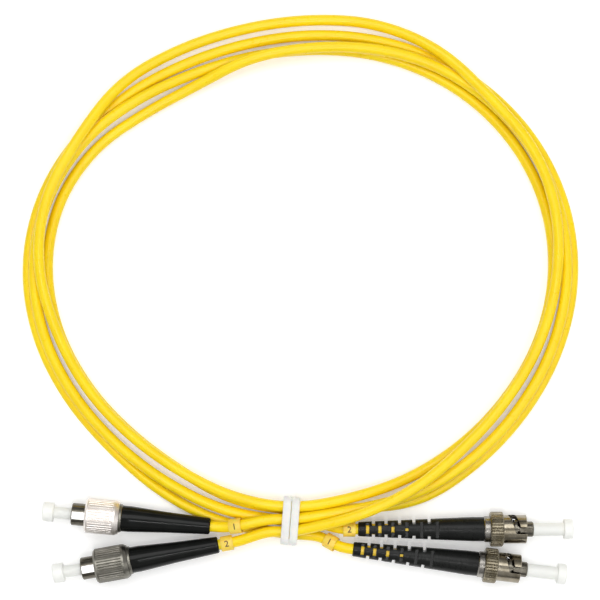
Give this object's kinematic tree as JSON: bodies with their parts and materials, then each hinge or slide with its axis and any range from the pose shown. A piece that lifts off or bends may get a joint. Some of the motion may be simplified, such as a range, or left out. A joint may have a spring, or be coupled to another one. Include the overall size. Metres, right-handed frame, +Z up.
{
  "type": "fiber optic patch cord",
  "caption": "Coiled duplex fiber optic patch cord, tied at the base, with capped screw plugs on one side and capped bayonet plugs on the other",
  "frame": {"origin": "on the table, under the middle of the row of four plugs", "axes": "+X along the row of plugs from the screw plugs to the bayonet plugs, +Y across the table towards the ring's far side, +Z up"},
  "size_m": [0.1544, 0.1577, 0.0104],
  "materials": {
    "yellow_jacket": "satin cable jacket",
    "black_rubber": "smooth moulded rubber",
    "plated_brass": "nickel plated",
    "spring_steel": "bright spring steel",
    "white_ceramic": "polished ceramic",
    "translucent_cap": "translucent soft plastic",
    "pale_marker": "printed soft plastic",
    "white_tie": "satin strip"
  },
  "bodies": {
    "cord_set": {"screw_1_boot": "black_rubber", "screw_1_stripped_end": "yellow_jacket", "screw_1_crimp": "plated_brass", "screw_1_stop_body": "plated_brass", "screw_1_frame": "plated_brass", "screw_1_spring": "spring_steel", "screw_2_boot": "black_rubber", "screw_2_stripped_end": "yellow_jacket", "screw_2_crimp": "plated_brass", "screw_2_stop_body": "plated_brass", "screw_2_frame": "plated_brass", "screw_2_spring": "spring_steel", "bayonet_1_boot": "black_rubber", "bayonet_1_stripped_end": "yellow_jacket", "bayonet_1_crimp": "plated_brass", "bayonet_1_rear_ring": "plated_brass", "bayonet_1_barrel": "plated_brass", "bayonet_1_ferrule": "white_ceramic", "bayonet_1_spring": "spring_steel", "bayonet_2_boot": "black_rubber", "bayonet_2_stripped_end": "yellow_jacket", "bayonet_2_crimp": "plated_brass", "bayonet_2_rear_ring": "plated_brass", "bayonet_2_barrel": "plated_brass", "bayonet_2_ferrule": "white_ceramic", "bayonet_2_spring": "spring_steel", "cord_1_coil": "yellow_jacket", "cord_1_lead_screw": "yellow_jacket", "cord_1_lead_bayonet": "yellow_jacket", "cord_2_coil": "yellow_jacket", "cord_2_lead_screw": "yellow_jacket", "cord_2_lead_bayonet": "yellow_jacket", "tie": "white_tie"},
    "screw_1_core": {"screw_1_ferrule": "white_ceramic", "screw_1_holder": "plated_brass"},
    "screw_1_slider": {"screw_1_bush": "plated_brass"},
    "screw_1_coupling": {"screw_1_nut": "plated_brass"},
    "screw_1_dust_cap": {"screw_1_cap": "translucent_cap"},
    "screw_2_core": {"screw_2_ferrule": "white_ceramic", "screw_2_holder": "plated_brass"},
    "screw_2_slider": {"screw_2_bush": "plated_brass"},
    "screw_2_coupling": {"screw_2_nut": "plated_brass"},
    "screw_2_dust_cap": {"screw_2_cap": "translucent_cap"},
    "bayonet_1_slider": {"bayonet_1_washer": "spring_steel"},
    "bayonet_1_coupling": {"bayonet_1_nut": "plated_brass"},
    "bayonet_1_dust_cap": {"bayonet_1_cap": "translucent_cap"},
    "bayonet_2_slider": {"bayonet_2_washer": "spring_steel"},
    "bayonet_2_coupling": {"bayonet_2_nut": "plated_brass"},
    "bayonet_2_dust_cap": {"bayonet_2_cap": "translucent_cap"},
    "marker_screw_1": {"marker_screw_1": "pale_marker"},
    "marker_bayonet_2": {"marker_bayonet_2": "pale_marker"},
    "marker_screw_2": {"marker_screw_2": "pale_marker"},
    "marker_bayonet_1": {"marker_bayonet_1": "pale_marker"}
  },
  "joints": [
    {"name": "screw_1_ferrule_push", "type": "slide", "parent": "cord_set", "child": "screw_1_core", "axis": [0.996, -0.0889, 0], "range_m": [0, 0.001], "stiffness_N_per_m": 1500, "deforming": ["screw_1_spring"]},
    {"name": "screw_1_nut_slide", "type": "slide", "parent": "cord_set", "child": "screw_1_slider", "axis": [-0.996, 0.0889, 0], "range_m": [0, 0.003]},
    {"name": "screw_1_nut_spin", "type": "hinge", "parent": "screw_1_slider", "child": "screw_1_coupling", "pos_m": [-0.05708, 0.00687, 0.0048], "axis": [-0.996, 0.0889, 0], "continuous": true},
    {"name": "screw_1_cap_pull", "type": "slide", "parent": "screw_1_core", "child": "screw_1_dust_cap", "axis": [-0.996, 0.0889, 0], "range_m": [0, 0.008]},
    {"name": "screw_2_ferrule_push", "type": "slide", "parent": "cord_set", "child": "screw_2_core", "axis": [0.9848, 0.1736, 0], "range_m": [0, 0.001], "stiffness_N_per_m": 1500, "deforming": ["screw_2_spring"]},
    {"name": "screw_2_nut_slide", "type": "slide", "parent": "cord_set", "child": "screw_2_slider", "axis": [-0.9848, -0.1736, 0], "range_m": [0, 0.003]},
    {"name": "screw_2_nut_spin", "type": "hinge", "parent": "screw_2_slider", "child": "screw_2_coupling", "pos_m": [-0.05444, -0.00611, 0.0048], "axis": [-0.9848, -0.1736, 0], "continuous": true},
    {"name": "screw_2_cap_pull", "type": "slide", "parent": "screw_2_core", "child": "screw_2_dust_cap", "axis": [-0.9848, -0.1736, 0], "range_m": [0, 0.008]},
    {"name": "bayonet_1_nut_push", "type": "slide", "parent": "cord_set", "child": "bayonet_1_slider", "axis": [1, 0, 0], "range_m": [0, 0.0025], "stiffness_N_per_m": 1200, "deforming": ["bayonet_1_spring"]},
    {"name": "bayonet_1_nut_spin", "type": "hinge", "parent": "bayonet_1_slider", "child": "bayonet_1_coupling", "pos_m": [0.0536, 0.0034, 0.0048], "axis": [1, 0, 0], "continuous": true},
    {"name": "bayonet_1_cap_pull", "type": "slide", "parent": "cord_set", "child": "bayonet_1_dust_cap", "axis": [1, 0, 0], "range_m": [0, 0.011]},
    {"name": "bayonet_2_nut_push", "type": "slide", "parent": "cord_set", "child": "bayonet_2_slider", "axis": [0.993, -0.1184, 0], "range_m": [0, 0.0025], "stiffness_N_per_m": 1200, "deforming": ["bayonet_2_spring"]},
    {"name": "bayonet_2_nut_spin", "type": "hinge", "parent": "bayonet_2_slider", "child": "bayonet_2_coupling", "pos_m": [0.05192, -0.00684, 0.0048], "axis": [0.993, -0.1184, 0], "continuous": true},
    {"name": "bayonet_2_cap_pull", "type": "slide", "parent": "cord_set", "child": "bayonet_2_dust_cap", "axis": [0.993, -0.1184, 0], "range_m": [0, 0.011]},
    {"name": "marker_screw_1_turn", "type": "hinge", "parent": "cord_set", "child": "marker_screw_1", "pos_m": [-0.02015, 0.00438, 0.00569], "axis": [0.9715, 0.1422, 0.1896], "continuous": true},
    {"name": "marker_bayonet_2_turn", "type": "hinge", "parent": "cord_set", "child": "marker_bayonet_2", "pos_m": [0.0061, -0.00028, 0.00392], "axis": [0.8472, -0.442, 0.2947], "continuous": true},
    {"name": "marker_screw_2_turn", "type": "hinge", "parent": "cord_set", "child": "marker_screw_2", "pos_m": [-0.0226, -0.00049, 0.0048], "axis": [0.9848, 0.1736, 0], "continuous": true},
    {"name": "marker_bayonet_1_turn", "type": "hinge", "parent": "cord_set", "child": "marker_bayonet_1", "pos_m": [0.0112, 0.0034, 0.0048], "axis": [1, 0, 0], "continuous": true}
  ]
}
